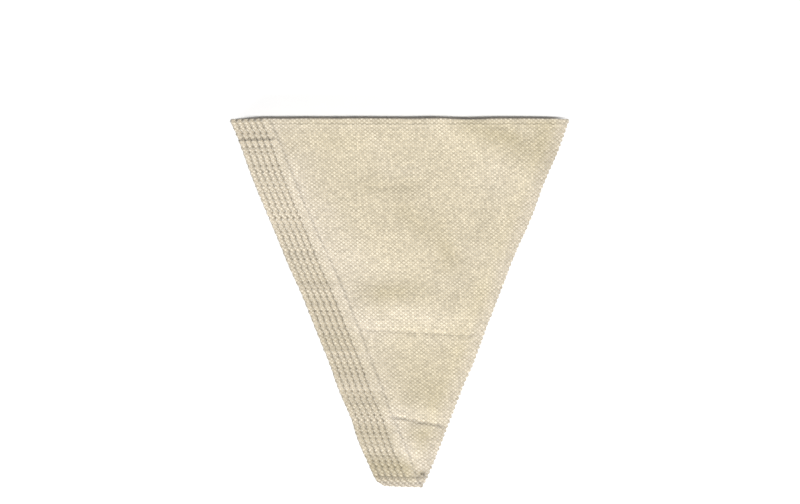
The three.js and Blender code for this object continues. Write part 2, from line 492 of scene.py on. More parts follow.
def inset_corners(corners, inset):
    """Corners of a convex outline moved inwards, and what each edge needs."""
    points = np.array([(x, -depth) for x, depth in corners], float)
    along = np.roll(points, -1, axis=0) - points
    along /= np.linalg.norm(along, axis=1)[:, None]
    inward = np.stack([-along[:, 1], along[:, 0]], axis=1)
    before = np.roll(inward, 1, axis=0)
    mitre = (before + inward) / (1 + (before * inward).sum(1))[:, None]
    return points + inset * mitre, along, inward, mitre


corners, edge_along, edge_inward, corner_mitre = inset_corners(OUTLINE, FOLD_INSET)
edge_length = np.linalg.norm(np.roll(corners, -1, axis=0) - corners, axis=1)
print("fold lines of", [round(float(length), 1) for length in edge_length], "mm")

# %% [markdown]
# The face of a flag is cut from a grid with one cell for each crossing of two yarns,
# so that every crossing can be raised later. A finely subdivided triangle would be
# quicker to make, but its points would miss the crossings. The grid is cropped along the
# fold lines, its new rim is halved to follow the scallops, and each cell gets a point in
# its middle.

# %% The face, cut from a grid of yarns
MERGE = 0.09
SPARE_COLUMNS = 24
SPARE_ROWS = 4
ROWS_OVER_TOP = 1.5
GRID_COLUMNS = int(TOP_WIDTH / WARP_PITCH) + SPARE_COLUMNS
GRID_ROWS = int(FLAG_LENGTH / WEFT_PITCH) + SPARE_ROWS


def thread_grid():
    """A flat mesh with a crossing in the middle of each face, larger than the flag."""
    bm = bmesh.new()
    bmesh.ops.create_grid(bm, x_segments=GRID_COLUMNS, y_segments=GRID_ROWS, size=0.5)
    for vert in bm.verts:
        warp = round((vert.co.x + 0.5) * GRID_COLUMNS) - GRID_COLUMNS // 2 - 0.5
        weft = round((vert.co.y - 0.5) * GRID_ROWS) + ROWS_OVER_TOP
        v = weft * WEFT_PITCH
        vert.co = (warp * WARP_PITCH - WARP_LEAN * v, v, 0)
    return bm


def cut_face(raised_band):
    """Crops the grid and puts a point into each cell near the flag's edges."""
    bm = thread_grid()
    for corner, inward in zip(corners, edge_inward):
        bmesh.ops.bisect_plane(
            bm,
            geom=bm.verts[:] + bm.edges[:] + bm.faces[:],
            plane_co=(*corner, 0),
            plane_no=(*-inward, 0),
            clear_outer=True,
        )
    bmesh.ops.remove_doubles(bm, verts=bm.verts[:], dist=MERGE)
    rim = [edge for edge in bm.edges if edge.is_boundary]
    bmesh.ops.subdivide_edges(bm, edges=rim, cuts=1)

    def near_edge(face):
        middle = np.array(face.calc_center_median()[:2])
        return ((middle - corners) * edge_inward).sum(1).min() < raised_band

    cells = [face for face in bm.faces if near_edge(face)]
    bmesh.ops.poke(bm, faces=cells)
    return bm


print("grid of yarns:", GRID_COLUMNS, "columns,", GRID_ROWS, "rows")

# %% [markdown]
# The hem is the same cloth carried on: round the fold, under the flag and inwards to
# its raw edge. It is built as rings outside the face. Each ring is the outline
# moved along the folded cloth, and the corners are mitred, so that the hems of two
# sides meet in a slanting line on the back. The narrow tip has room for less hem.

# %% The hems, as rings round the face
ARC_STEPS = 4
HEM_STEPS = 5
TIP_HEM_WIDTH = 2.5
TIP_HEM_FROM = 130.0
BACK_HEM = 4.4


def rim_order(bm):
    """The face's rim, anticlockwise: its points, and the edge each lies on."""
    rim = [vert for vert in bm.verts if vert.is_boundary]
    middle = corners.mean(0)
    rim.sort(key=lambda vert: math.atan2(vert.co.y - middle[1], vert.co.x - middle[0]))
    points = np.array([vert.co[:2] for vert in rim])
    offsets = ((points[:, None] - corners) * edge_inward).sum(2)
    return rim, points, np.abs(offsets).argmin(1)


def hem_room(depth):
    """Width that the hem may have at a depth."""
    bottom = -corners[:, 1].min()
    return BACK_HEM + (TIP_HEM_WIDTH - BACK_HEM) * smooth(TIP_HEM_FROM, bottom, depth)


def moved_rim(points, edges, inset):
    """The rim moved inwards by an inset, or outwards if that is below zero."""
    follow = (edges + 1) % len(corners)
    at = ((points - corners[edges]) * edge_along[edges]).sum(1)
    start = (corner_mitre[edges] * edge_along[edges]).sum(1) * inset
    end = edge_length[edges] + (corner_mitre[follow] * edge_along[edges]).sum(1) * inset
    share = np.clip(at / edge_length[edges], 0, 1)
    place = start + (end - start) * share
    return corners[edges] + place[:, None] * edge_along[edges] + inset[:, None] * edge_inward[edges]


def add_hems(bm):
    """Adds the rings, notes where each point was on the flat cloth, and counts the rings."""
    flat = bm.verts.layers.float_vector.new("flat")
    rim, points, edges = rim_order(bm)
    for vert in bm.verts:
        vert[flat] = vert.co
    room = hem_room(-points[:, 1])
    rings = []
    for step in range(1, ARC_STEPS + 1):
        turn = math.pi * step / ARC_STEPS
        inset = np.full(len(points), -FOLD_RADIUS * math.sin(turn))
        length = np.full(len(points), FOLD_RADIUS * turn)
        rings.append((inset, -FOLD_RADIUS * (1 - math.cos(turn)), length))
    for step in range(1, HEM_STEPS + 1):
        inwards = (room - FOLD_INSET) * step / HEM_STEPS
        rings.append((inwards, -2 * FOLD_RADIUS, FOLD_RADIUS * math.pi + inwards))
    before = rim
    for inset, level, length in rings:
        places = moved_rim(points, edges, inset)
        spread = moved_rim(points, edges, -length)
        ring = []
        for place, unfolded in zip(places, spread):
            vert = bm.verts.new((*place, level))
            vert[flat] = (*unfolded, 0)
            ring.append(vert)
        for here in range(len(ring)):
            after = (here + 1) % len(ring)
            bm.faces.new((before[here], ring[here], ring[after], before[after]))
        before = ring
    return len(rings)


print("hem on the back:", BACK_HEM, "mm, at the tip:", TIP_HEM_WIDTH, "mm")

# %% [markdown]
# One such sheet is made with a crossing raised in every cell, for the top flag and
# the bottom one, whose faces are seen. The flags between them show only their rims,
# so only their outer band has the raised crossings. A sheet is kept as plain arrays,
# because every flag then lies on a different stack.

# %% Sheets of cloth without thickness
BAND_SEEN = 9.0
EVERYWHERE = 200.0


def make_sheet(raised_band):
    bm = cut_face(raised_band)
    rings = add_hems(bm)
    bm.normal_update()
    bm.verts.index_update()
    flat = bm.verts.layers.float_vector["flat"]
    sheet = {
        "place": np.array([vert.co for vert in bm.verts]),
        "flat": np.array([vert[flat][:2] for vert in bm.verts]),
        "normal": np.array([vert.normal for vert in bm.verts]),
        "faces": [[vert.index for vert in face.verts] for face in bm.faces],
        "rim": [[vert.index for vert in edge.verts] for edge in bm.edges if edge.is_boundary],
    }
    bm.free()
    print("sheet:", len(sheet["faces"]), "faces,", rings, "rings of hem")
    return sheet


full_sheet = make_sheet(EVERYWHERE)
banded_sheet = make_sheet(BAND_SEEN)

# %% [markdown]
# The shading of ridges, creases and hems is painted into the cloth's colour: painted
# light where the cloth faces the light, painted shade where it faces away, lies in a
# crease or droops, with some uneven tone among them. These tones are listed on the left
# hems at a few depths and on the face as soft spots. A lighter place is also a little
# less yellow, and so is the cloth near the side hems.

# %% Painted light and shade, with tones of the cloth
# painted light and shade on the left hems of every flag, darkest towards the tip
# columns: depth, how much lighter or darker
HEM_TONES = (
    (0, 0.02), (4, 0.06), (8.5, 0.04), (11, 0.06), (20, 0.05), (30, 0.07), (40, 0.07), (55, 0.04),
    (64, 0), (67.9, -0.03), (71, 0.03), (76, -0.02), (89, -0.03), (91, -0.08), (97, -0.05),
    (98.7, 0.04), (100.5, 0), (103, -0.05), (108, -0.02), (112.8, 0.06), (115, -0.02),
    (121, -0.04), (126.5, 0.03), (129, -0.07), (133, -0.07), (139, 0), (142, -0.12),
    (145, -0.24), (151, -0.14), (154, -0.02),
)
# mostly painted light and shade of the top flag's ridges, creases, right side and tip, with some uneven
# tone
# columns: x and depth of one end, x and depth of the other, tone, spread, end fade
TONES = {
    "dark over the belly": (-20, 71.5, 2, 71.5, -0.05, 3.5, 5),
    "light belly": (-18, 84.5, 22, 84.5, 0.065, 4, 5),
    "light over the short crease": (-8, 122, 9, 124, 0.06, 2, 3),
    "dark under the short crease": (-5, 131, 8, 132, -0.07, 2.5, 3),
    "dark low spot": (0, 115, 7, 115, -0.05, 4, 4),
    "dark streak": (-19, 28.5, -3, 28.5, -0.05, 2.5, 4),
    "slanting dark streak": (-3, 41, 16, 57, -0.05, 3, 4),
    "end of that streak": (16, 57, 23, 68, -0.04, 3, 4),
    "light side of the corner ridge": (10, 3, 45, 26, 0.05, 4, 5),
    "dark side of the corner ridge": (24, 3, 47, 12, -0.06, 3.5, 4),
    "light slant at the tip": (-7, 134.5, -2, 142, 0.03, 2.5, 3),
    "dark spot at the tip": (2.2, 148, 3.2, 148, -0.2, 0.7, 0.5),
    "light upper left": (-46, 35, -36, 60, 0.03, 6, 6),
    "right side": (62, 0, 6, 145, -0.07, 5, 5),
    "darker corner ridge": (22, 7, 47, 12, -0.07, 5, 5),
    "right corner": (51, 12, 56, 22, -0.07, 4, 4),
    "light patch at the right": (28, 26, 36, 32, 0.06, 5, 5),
    "dark spot over the belly": (-5, 38, 3, 44, -0.05, 4, 4),
    "light side of the belly": (-34, 48, -24, 70, 0.06, 6, 5),
    "dark left of the belly": (-22, 73, -16, 74, -0.06, 4, 3),
    "dark right of the belly": (12, 76, 17, 92, -0.06, 6, 5),
    "dark lower part": (-5, 106, 9, 111, -0.07, 7, 6),
    "light ends of the short crease": (-5, 122.5, 1, 127, 0.06, 2.5, 3),
    "dark tip": (-2, 146.5, 6, 146.5, -0.08, 3, 3),
    "light top fold": (-64, 0.6, 64, 0.6, 0.12, 0.5, 1),
    "light along the hem line": (-57, 8, -3, 140, 0.04, 1.3, 3),
    "light spot in the tip": (-1, 144, 0, 145, 0.06, 1.8, 2),
    "dark right end of the short crease": (7, 120, 9, 124, -0.06, 2, 2),
    "light streak in the corner": (48, 6, 50, 12, 0.05, 2, 2),
    "dark under the top hem": (33, 7, 40, 8, -0.05, 2, 3),
    "dark top hem at the right": (48, 3, 55, 3, -0.06, 1.5, 3),
    "dark under the hem at the left": (-50, 11, -26, 11, -0.045, 2, 3),
    "dark spot over the short crease": (-6, 119, -4, 119, -0.04, 2, 2),
    "dark spot under it": (0, 132, 2, 132, -0.05, 2, 2),
    "dark end of the corner": (55, 7, 58, 11, -0.05, 2.5, 3),
    "light under the left corner": (-47, 19, -47, 28, 0.045, 4, 4),
    "light spot high at the right": (34, 22, 34, 28, 0.045, 3, 3),
    "light left of the middle": (-24, 57, -12, 66, 0.065, 6, 4),
    "light right of the middle": (21, 57, 21, 68, 0.065, 4, 4),
    "light right part of the belly": (11, 70, 11, 85, 0.075, 4.5, 3),
    "light spot on the belly": (-6, 81, 3, 82, 0.075, 2.5, 3),
    "dark spot on the belly": (-14, 73, -6, 73, -0.085, 2.2, 2),
    "dark right end of the belly": (29, 73, 26, 82, -0.07, 3, 3),
    "light over the long crease": (-29, 77, -20, 88, 0.075, 4.5, 4),
    "light middle of the long crease": (-10, 83, -11, 89, 0.05, 3, 3),
    "dark spot at the right side": (19, 98, 18.5, 103, -0.06, 2.5, 3),
    "light left end of the crease": (-9, 125, -7, 129, 0.1, 2.2, 2.2),
    "light slant down to the tip": (-6, 131, 0, 146, 0.15, 2.1, 2),
    "dark right of that slant": (4.5, 131, 4.5, 137, -0.07, 2.3, 2),
    "light spot at the upper hem": (-39, 37, -35, 39, 0.08, 2, 2),
    "dark under the left corner": (-55, 8, -53, 15, -0.07, 1.8, 2),
    "light slant in the right corner": (44, 4, 48, 15, 0.055, 2, 2),
    "light slant high at the left": (-16, 11, -11, 23, 0.055, 2.3, 3),
    "light spot beside it": (-5, 22, 0, 22, 0.06, 2, 2),
    "dark right of the middle": (11, 43, 13, 62, -0.055, 2.4, 3),
    "light low at the right": (29, 57, 35, 63, 0.055, 2.4, 3),
    "light top hem": (-56, 3.7, 4, 3.7, 0.05, 0.9, 3),
    "light under the long crease": (6, 93, 18, 93, 0.065, 2, 2),
}
HEM_TONE_FADE = 4.0
# red, green and blue: how far a lighter tone lifts them, and what the side hems add
LIGHT_TINT = (0.97, 1.02, 1.38)
HEM_TINT = (-0.012, -0.008, 0.034)
HEM_TINT_REACH = 20.0
RIGHT_TINT_REACH = 8.0
RIGHT_TINT_SHARE = 2.0
print("tones:", len(TONES))

# %% [markdown]
# Thickness comes last. The sheet is offset to both sides, the weave is added to each
# side, and the raw edge of the hem is closed. Inside a hem the two layers touch, so
# the weave is left flat there. The finished cloth is then laid on the stack. Apart from
# the uneven edges and yarns only its height changes, because the folds are shallow.

# %% Cloth with thickness, laid on the stack
HIDDEN_BAND = 6.5
FACE_CLEAR = 0.02
FLOOR_CLEAR = 0.02
YARN_JITTER = 0.14
SLOW_JITTER = 0.3
SLOW_WARP_SPAN = 29
SLOW_WEFT_SPAN = 23
JITTER_INSET = 6.0


def outward_faces(sheet):
    """Both skins and the strip that closes the raw edge of the hem."""
    count = len(sheet["place"])
    faces = [tuple(face) for face in sheet["faces"]]
    faces += [tuple(index + count for index in reversed(face)) for face in sheet["faces"]]
    sides = {side for face in sheet["faces"] for side in zip(face, face[1:] + face[:1])}
    for one, other in sheet["rim"]:
        here, after = (one, other) if (one, other) in sides else (other, one)
        faces.append((after, here, here + count, after + count))
    return faces


def two_skins(sheet, inset):
    """The sheet offset to its two sides, with the weave on each."""
    warp, weft = threads_at(*sheet["flat"].T)
    hidden = (sheet["place"][:, 2] < -FOLD_RADIUS) | (inset < HIDDEN_BAND)
    skins = []
    for side in (1, -1):
        weave = weave_height(warp, weft, side)
        if side < 0:
            weave = np.where(hidden, 0, weave)
        out = side * (CLOTH / 2 + weave)
        skins.append(sheet["place"] + sheet["normal"] * out[:, None])
    return np.concatenate(skins)


def yarn_jitter(sheet, inset):
    """Uneven spacing of the yarns, less at the folds: shift right and shift up."""
    warp, weft = threads_at(*sheet["flat"].T)
    face = 1 + np.clip(sheet["place"][:, 2] / (2 * FOLD_RADIUS), -1, 0)
    slow = SLOW_JITTER * smooth(0, JITTER_INSET, inset)
    right = face * (YARN_JITTER * drifting(warp, 11) + slow * drifting(weft / SLOW_WEFT_SPAN, 12))
    up = face * (YARN_JITTER * drifting(weft, 13) + slow * drifting(warp / SLOW_WARP_SPAN, 14))
    return np.tile(right, 2), np.tile(up, 2)


def lay_flag(flag, sheet):
    """Points of one flag's two skins, in millimetres."""
    inset = ((sheet["place"][:, None, :2] - corners) * edge_inward).sum(2).min(1)
    points = two_skins(sheet, inset)
    x, y = points[:, 0].copy(), points[:, 1].copy()
    depth = np.clip(-y, 0, FLAG_LENGTH)
    right, up, lift = edge_scallops(flag, x, depth)
    yarn_right, yarn_up = yarn_jitter(sheet, inset)
    points[:, 0] = x + right + yarn_right + wander(x, depth) + MIDDLES[flag]
    points[:, 1] = y + up + yarn_up + TOP_EDGE_Y
    lift += stack_height(flag, points[:, 0], depth) + relief(flag, points[:, 0], depth)
    lift += hem_print(flag, points[:, 0], depth)
    points[:, 2] += lift - CLOTH / 2 - CROWN - FACE_CLEAR
    points[:, 2] = np.maximum(points[:, 2], FLOOR_CLEAR)
    return points


print("cloth", CLOTH, "mm thick, hem", 2 * CLOTH, "mm")

# %% [markdown]
# The canvas material has to know where on the cloth it is. A UV map holds the counts of
# the yarns, so the pattern follows the cloth round its folds. The counts are divided by
# a fixed number to keep the map small. Two attributes hold the painted light and shade
# and the place on the flag. Each flag is then one mesh of its own.

# %% The six flags
YARN_MAP = 512.0


def painted_light_and_shade(flag, points):
    """Painted light and shade at a point: how much more red, green and blue it shows than the mean."""
    x, depth = points[:, 0], TOP_EDGE_Y - points[:, 1]
    left, right = side_insets(flag, x, depth)
    tone = np.interp(depth, *zip(*HEM_TONES)) * (1 - smooth(SIDE_HEM, SIDE_HEM + HEM_TONE_FADE, left))
    if flag == TOP_FLAG:
        tone += fold_height(TONES, x - MIDDLES[TOP_FLAG], depth)
    near_hem = 1 - smooth(SIDE_HEM, SIDE_HEM + HEM_TINT_REACH, left)
    near_right = RIGHT_TINT_SHARE * (1 - smooth(0, RIGHT_TINT_REACH, right))
    return np.outer(tone, LIGHT_TINT) + np.outer(near_hem + near_right, HEM_TINT)


def place_on_flag(flag, points):
    """Distance from the middle line, depth, and distance inside the left hem's edge."""
    x, depth = points[:, 0], TOP_EDGE_Y - points[:, 1]
    from_hem = side_insets(flag, x, depth)[0] - np.interp(depth, *zip(*HEM_WIDTHS))
    return np.stack([x - MIDDLES[flag], depth, from_hem], axis=1)


def add_vectors(mesh, name, vectors):
    attribute = mesh.attributes.new(name, "FLOAT_VECTOR", "POINT")
    attribute.data.foreach_set("vector", vectors.astype(np.float32).ravel())


def add_yarn_map(mesh, flat):
    """A UV map with the yarn counts of each corner's point."""
    yarns = mesh.uv_layers.new(name="Yarns")
    point_of = np.empty(len(mesh.loops), int)
    mesh.loops.foreach_get("vertex_index", point_of)
    counts = np.stack(threads_at(*flat.T), axis=1) / YARN_MAP
    yarns.uv.foreach_set("vector", counts[point_of].astype(np.float32).ravel())


def make_flag(flag, sheet):
    points = lay_flag(flag, sheet)
    name = f"canvas_{flag_names[flag]}"
    mesh = bpy.data.meshes.new(name)
    mesh.from_pydata((points * MM).tolist(), [], outward_faces(sheet))
    add_vectors(mesh, "Painted light and shade", painted_light_and_shade(flag, points))
    add_vectors(mesh, "Flag place", place_on_flag(flag, points))
    add_yarn_map(mesh, np.concatenate([sheet["flat"], sheet["flat"]]))
    mesh.polygons.foreach_set("use_smooth", np.ones(len(mesh.polygons), bool))
    mesh.validate()
    cloth = bpy.data.objects.new(name, mesh)
    bpy.context.scene.collection.objects.link(cloth)
    return cloth


flags = []
for flag in range(len(flag_names)):
    sheet = full_sheet if flag in (0, TOP_FLAG) else banded_sheet
    cloth = make_flag(flag, sheet)
    flags.append(cloth)
    print(cloth.name, "triangles:", sum(len(face.vertices) - 2 for face in cloth.data.polygons))

# %% [markdown]
# A material is a tree of nodes, and each node is linked to the next by its sockets.
# Written out one by one, these trees would be long, so a few helpers come first. Each
# makes one kind of node, and takes a socket or a plain value for every input.

# %% Helpers for shader nodes
# a Mix node's first colour, second colour and result, or the same for plain values
MIX_SOCKETS = {"FLOAT": (2, 3, 0), "RGBA": (6, 7, 2)}


def new_group(name, inputs, outputs):
    group = bpy.data.node_groups.new(name, "ShaderNodeTree")
    for label, kind in inputs:
        group.interface.new_socket(label, in_out="INPUT", socket_type=kind)
    for label in outputs:
        group.interface.new_socket(label, in_out="OUTPUT", socket_type="NodeSocketFloat")
    return group, group.nodes.new("NodeGroupInput"), group.nodes.new("NodeGroupOutput")


def feed(tree, socket, value):
    """Links a socket to an input, or sets the input to a plain value."""
    if isinstance(value, bpy.types.NodeSocket):
        tree.links.new(value, socket)
    else:
        socket.default_value = value


def math_node(tree, operation, *values):
    node = tree.nodes.new("ShaderNodeMath")
    node.operation = operation
    for socket, value in zip(node.inputs, values):
        feed(tree, socket, value)
    return node.outputs[0]


def vector_node(tree, operation, *values):
    """A Vector Math node. Gives the output that the operation fills."""
    node = tree.nodes.new("ShaderNodeVectorMath")
    node.operation = operation
    for socket, value in zip(node.inputs, values):
        feed(tree, socket, value)
    return node.outputs["Value" if operation in ("DOT_PRODUCT", "LENGTH") else "Vector"]


def noise_node(tree, place, scale, detail=2.0):
    node = tree.nodes.new("ShaderNodeTexNoise")
    node.inputs["Scale"].default_value = scale
    node.inputs["Detail"].default_value = detail
    tree.links.new(place, node.inputs["Vector"])
    return node.outputs


def map_range(tree, value, given, wanted):
    """Stretches a value from one range to another."""
    node = tree.nodes.new("ShaderNodeMapRange")
    node.inputs["From Min"].default_value, node.inputs["From Max"].default_value = given
    node.inputs["To Min"].default_value, node.inputs["To Max"].default_value = wanted
    tree.links.new(value, node.inputs["Value"])
    return node.outputs[0]


def mix_node(tree, kind, share, first, second):
    node = tree.nodes.new("ShaderNodeMix")
    node.data_type = kind
    first_socket, second_socket, result = MIX_SOCKETS[kind]
    feed(tree, node.inputs[0], share)
    feed(tree, node.inputs[first_socket], first)
    feed(tree, node.inputs[second_socket], second)
    return node.outputs[result]


def place_group(tree, group, **values):
    """A group in a tree, with its inputs given by name."""
    node = tree.nodes.new("ShaderNodeGroup")
    node.node_tree = group
    for label, value in values.items():
        feed(tree, node.inputs[label], value)
    return node.outputs


print("helpers for Math, Vector Math, Noise, Map Range, Mix and Group nodes")

# %% [markdown]
# Up close each yarn has its own tone, a little lighter or darker, and the tone drifts
# along the yarn. Where a yarn is on top, the eye sees that yarn's tone. The pores
# between the crossings get painted shade, for the light that gets lost in them. A picture
# of woven cloth could be wrapped round the flags, but a node group can work the weave out
# from the yarn counts at any scale. It gives only masks, and the material colours them.

# %% Node group: plain weave
YARN_TONE_SCALE = 0.83
YARN_TONE_DETAIL = 1.0
# how fast the tone drifts along a yarn, and a number that sets warp and weft apart
WARP_TONE = (0.12, 3.0)
WEFT_TONE = (0.16, 41.0)


def yarn_tone(group, count, along, drift, salt):
    """A tone from 0 to 1 for each yarn, which drifts along the yarn."""
    place = group.nodes.new("ShaderNodeCombineXYZ")
    feed(group, place.inputs["X"], math_node(group, "ROUND", count))
    feed(group, place.inputs["Y"], math_node(group, "MULTIPLY", along, drift))
    feed(group, place.inputs["Z"], salt)
    return noise_node(group, place.outputs[0], YARN_TONE_SCALE, YARN_TONE_DETAIL)["Fac"]


def crossing_chance(group, warp, weft):
    """A value from 0 to 1 for each crossing, unlike that of its neighbours."""
    place = group.nodes.new("ShaderNodeCombineXYZ")
    feed(group, place.inputs["X"], math_node(group, "ROUND", warp))
    feed(group, place.inputs["Y"], math_node(group, "ROUND", weft))
    chance = group.nodes.new("ShaderNodeTexWhiteNoise")
    group.links.new(place.outputs[0], chance.inputs["Vector"])
    return chance.outputs["Value"]


def half_turns(group, wave, count):
    """The sine or cosine that turns half round from one yarn to the next."""
    return math_node(group, wave, math_node(group, "MULTIPLY", count, math.pi))


def make_weave_group():
    outputs = ["Tone", "Pore", "Crown", "Warp share", "Crossing"]
    group, start, end = new_group("Plain weave", [("Yarns", "NodeSocketVector")], outputs)
    counts = group.nodes.new("ShaderNodeSeparateXYZ")
    group.links.new(start.outputs["Yarns"], counts.inputs[0])
    warp, weft = counts.outputs["X"], counts.outputs["Y"]
    warp_wave, weft_wave = half_turns(group, "COSINE", warp), half_turns(group, "COSINE", weft)
    straight = math_node(group, "MULTIPLY", warp_wave, weft_wave)
    slopes = half_turns(group, "SINE", warp), half_turns(group, "SINE", weft)
    twisted = math_node(group, "MULTIPLY", *slopes)
    over = math_node(group, "MULTIPLY_ADD", twisted, -TWIST, straight)
    warp_over = math_node(group, "GREATER_THAN", over, 0.0)
    under = math_node(group, "MULTIPLY_ADD", over, -0.5, 0.5)
    warp_tone = yarn_tone(group, warp, weft, *WARP_TONE)
    weft_tone = yarn_tone(group, weft, warp, *WEFT_TONE)
    crests = [math_node(group, "ABSOLUTE", wave) for wave in (warp_wave, weft_wave)]
    gaps = [math_node(group, "SUBTRACT", 1.0, crest) for crest in crests]
    masks = (
        mix_node(group, "FLOAT", warp_over, weft_tone, warp_tone),
        math_node(group, "MULTIPLY", *gaps),
        math_node(group, "MULTIPLY", *crests),
        math_node(group, "SUBTRACT", 1.0, math_node(group, "MULTIPLY", under, under)),
        crossing_chance(group, warp, weft),
    )
    for label, mask in zip(outputs, masks):
        group.links.new(mask, end.inputs[label])
    return group


weave_group = make_weave_group()
print("node group:", weave_group.name, len(weave_group.nodes), "nodes")

# %% [markdown]
# The sharp lines are finer than a yarn's spacing, so they are drawn into the surface:
# the creases of the top flag, and on every flag the lines over the inner edges of the
# hems. Modelled, they would need a much finer mesh. A node group gives one soft line
# between two places on the flag, and is placed once for each line.

# %% Node group: a line on a flag
def bell(group, value, width):
    """1 where a value is 0, falling off softly over a width."""
    share = math_node(group, "DIVIDE", value, width)
    square = math_node(group, "MULTIPLY", share, share)
    return math_node(group, "EXPONENT", math_node(group, "MULTIPLY", square, -0.5))


def make_line_group():
    places = [(label, "NodeSocketVector") for label in ("Place", "From", "To")]
    sizes = [(label, "NodeSocketFloat") for label in ("Width", "Fade")]
    group, start, end = new_group("Line on a flag", places + sizes, ["Mask"])
    given = start.outputs
    whole = vector_node(group, "SUBTRACT", given["To"], given["From"])
    direction = vector_node(group, "NORMALIZE", whole)
    length = vector_node(group, "LENGTH", whole)
    offset = vector_node(group, "SUBTRACT", given["Place"], given["From"])
    along = vector_node(group, "DOT_PRODUCT", offset, direction)
    across = vector_node(group, "LENGTH", vector_node(group, "CROSS_PRODUCT", offset, direction))
    before = math_node(group, "MULTIPLY", along, -1.0)
    after = math_node(group, "SUBTRACT", along, length)
    past = math_node(group, "MAXIMUM", math_node(group, "MAXIMUM", before, after), 0.0)
    narrow = bell(group, across, given["Width"])
    mask = math_node(group, "MULTIPLY", narrow, bell(group, past, given["Fade"]))
    group.links.new(mask, end.inputs["Mask"])
    return group


line_group = make_line_group()
print("node group:", line_group.name)

# %% [markdown]
# The inner edge of the left hem shows as a row of short slanting strokes, a few
# millimetres each. They may come from the raw edge underneath, which steps from one yarn
# to the next. They repeat down the whole side, so one formula draws them all: the depth
# is counted in strokes, and its fraction swings the line across the edge and weakens it
# between two strokes.

# %% Node group: strokes along a hem
STROKE_LENGTH = 4.05
STROKE_SWING = 0.6
STROKE_WIDTH = 0.27
STROKE_GAP = 0.3


def make_stroke_group():
    group, start, end = new_group("Hem strokes", [("Place", "NodeSocketVector")], ["Mask"])
    parts = group.nodes.new("ShaderNodeSeparateXYZ")
    group.links.new(start.outputs["Place"], parts.inputs[0])
    depth, from_hem = parts.outputs["Y"], parts.outputs["Z"]
    phase = math_node(group, "FRACT", math_node(group, "DIVIDE", depth, STROKE_LENGTH))
    swing = math_node(group, "MULTIPLY_ADD", phase, STROKE_SWING, -STROKE_SWING / 2)
    line = bell(group, math_node(group, "SUBTRACT", from_hem, swing), STROKE_WIDTH)
    dash = math_node(group, "SQRT", math_node(group, "SINE", math_node(group, "MULTIPLY", phase, math.pi)))
    strength = math_node(group, "MULTIPLY_ADD", dash, 1 - STROKE_GAP, STROKE_GAP)
    group.links.new(math_node(group, "MULTIPLY", line, strength), end.inputs["Mask"])
    return group


stroke_group = make_stroke_group()
print("node group:", stroke_group.name)

# %% [markdown]
# Lines have places on a flag, like the ridges. A soft noise moves each place a little,
# because no crease in cloth is straight, and a second one makes a line fade and
# strengthen along its way. The lines of the hems are on all flags, the creases only on
# the top one.

# %% Lines of the hems and of the creases
STROKE_DEPTH = -0.32
LINE_WOBBLE = 0.5
WOBBLE_SCALE = 0.45
UNEVEN_SCALE = 0.9
# factor and addend that turn the noise into a line's strength
UNEVEN_STRENGTH = (2.2, -0.1)

# columns: x and depth of one end, x and depth of the other, height, width, end fade
HEM_LINES = {
    "top hem groove": (-60, 2.5, 63, 2.5, -0.08, 0.25, 1),
    "top hem ridge": (-60, 3.2, 63, 3.2, 0.15, 0.3, 1),
    "pinch": (-60.9, 9.2, -59.2, 8.4, -0.28, 0.26, 0.3),
    "under the pinch": (-61.0, 10.2, -58.4, 9.4, 0.25, 0.3, 0.4),
    "tip fold": (-4, 149.5, 5, 149.5, -0.2, 0.3, 0.4),
    "tip roll": (-3.4, 151.0, 3.4, 151.0, 0.25, 0.45, 0.4),
    "under the tip roll": (-2.6, 152.2, 3.2, 152.2, -0.22, 0.25, 0.4),
}
CREASE_LINES = {
    "long crease": (-21, 88.5, 26, 90.8, -0.17, 0.32, 2),
    "ridge over it": (-21, 87.3, 24, 89.4, 0.1, 0.5, 2),
    "line higher up": (-18, 83.9, 24, 84.1, -0.1, 0.3, 3),
    "ridge over that line": (-18, 83.1, 24, 83.3, 0.12, 0.35, 3),
    "short crease": (-9.6, 124.5, 11.4, 128.6, -0.36, 0.4, 1.2),
    "ridge over the short crease": (-9.6, 123.3, 11.4, 127.2, 0.25, 0.45, 1.2),
    "upright line": (-24, 6, -24, 52, 0.14, 0.3, 5),
    "short upright line": (6.6, 7, 6.6, 18, 0.12, 0.3, 3),
    "corner streak": (-14, 6, -10, 26, -0.06, 0.4, 4),
    "tip pit": (2.9, 148.2, 3.7, 148.5, -0.6, 0.4, 0.3),
}


def add_lines(tree, place, lines):
    """The height of all the lines together, in millimetres."""
    total = 0.0
    for x0, d0, x1, d1, height, width, fade in lines.values():
        ends = {"From": (x0, d0, 0), "To": (x1, d1, 0)}
        line = place_group(tree, line_group, Place=place, Width=width, Fade=fade, **ends)
        total = math_node(tree, "MULTIPLY_ADD", line["Mask"], height, total)
    return total


def line_height(tree, on_flag, lines):
    """The height of the lines and of the left hem's strokes, in millimetres."""
    wobble = noise_node(tree, on_flag, WOBBLE_SCALE)["Color"]
    moved = vector_node(tree, "MULTIPLY_ADD", wobble, (2 * LINE_WOBBLE, 2 * LINE_WOBBLE, 0), on_flag)
    place = vector_node(tree, "ADD", moved, (-LINE_WOBBLE, -LINE_WOBBLE, 0))
    uneven = noise_node(tree, on_flag, UNEVEN_SCALE)["Fac"]
    strength = math_node(tree, "MULTIPLY_ADD", uneven, *UNEVEN_STRENGTH)
    across_flag = vector_node(tree, "MULTIPLY", place, (1, 1, 0))
    drawn = math_node(tree, "MULTIPLY", add_lines(tree, across_flag, lines), strength)
    strokes = place_group(tree, stroke_group, Place=place)
    return math_node(tree, "MULTIPLY_ADD", strokes["Mask"], STROKE_DEPTH, drawn)


print("lines:", len(HEM_LINES), "on every flag,", len(CREASE_LINES), "more on the top one")
